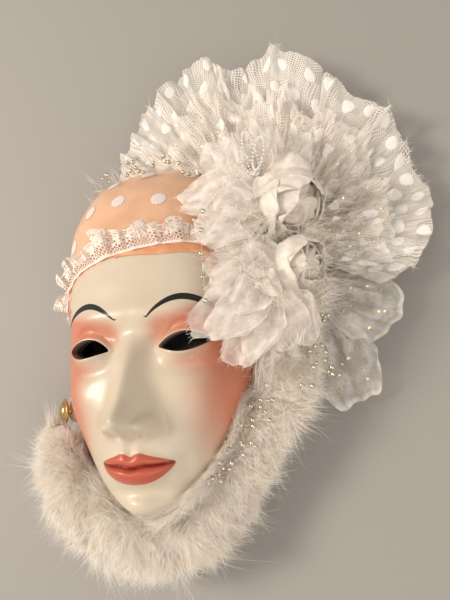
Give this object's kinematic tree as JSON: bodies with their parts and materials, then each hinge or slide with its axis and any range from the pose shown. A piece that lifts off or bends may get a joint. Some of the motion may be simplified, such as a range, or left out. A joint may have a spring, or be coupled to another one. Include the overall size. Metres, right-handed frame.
{
  "type": "decorated ceramic wall mask",
  "caption": "Glazed ceramic lady's face mask, hollow and open behind, with painted make-up, fabric cap, lace band, pleated net fan, ribbon roses, organza, bead strands and feather boa",
  "frame": {"origin": "middle of the object's footprint, at the flat back rim the mask lies on", "axes": "+Z out of the face, +Y to the crown of the head, +X to the viewer's right"},
  "size_m": [0.2896, 0.368, 0.1003],
  "materials": {
    "ivory_glaze": "ivory glaze with airbrushed coral blush, glossy red lips and black brows",
    "peach_cloth": "peach satin under fine net with woven dots",
    "cream_lace": "ruffled openwork lace",
    "coral_satin": "narrow satin ribbon",
    "white_net": "stiff open net with flocked dots",
    "glitter_net": "gathered fine net with champagne sequins",
    "white_organza": "sheer crisp organza",
    "white_satin": "ivory satin ribbon",
    "white_feather": "fluffy marabou down",
    "silver_bead": "metallised champagne silver beads",
    "clear_bead": "pearly iridescent beads",
    "gold_metal": "polished gold colour"
  },
  "bodies": {
    "root": {"face_mask": "ivory_glaze", "fabric_cap": "peach_cloth", "lace_band": "cream_lace", "satin_edging": "coral_satin", "dotted_net_fan": "white_net", "glitter_net_ruffle": "glitter_net", "organza_loop_upper": "white_organza", "organza_loop_lower": "white_organza", "organza_flower_crown": "white_organza", "organza_flower_temple": "white_organza", "ribbon_rose_upper": "white_satin", "ribbon_rose_lower": "white_satin", "feather_boa": "white_feather", "feather_tuft": "white_feather", "bead_strand_crown": "silver_bead", "bead_strand_temple": "silver_bead", "bead_strand_side": "silver_bead", "bead_strand_boa": "silver_bead", "bead_spray": "clear_bead", "earring": "gold_metal"}
  },
  "joints": []
}
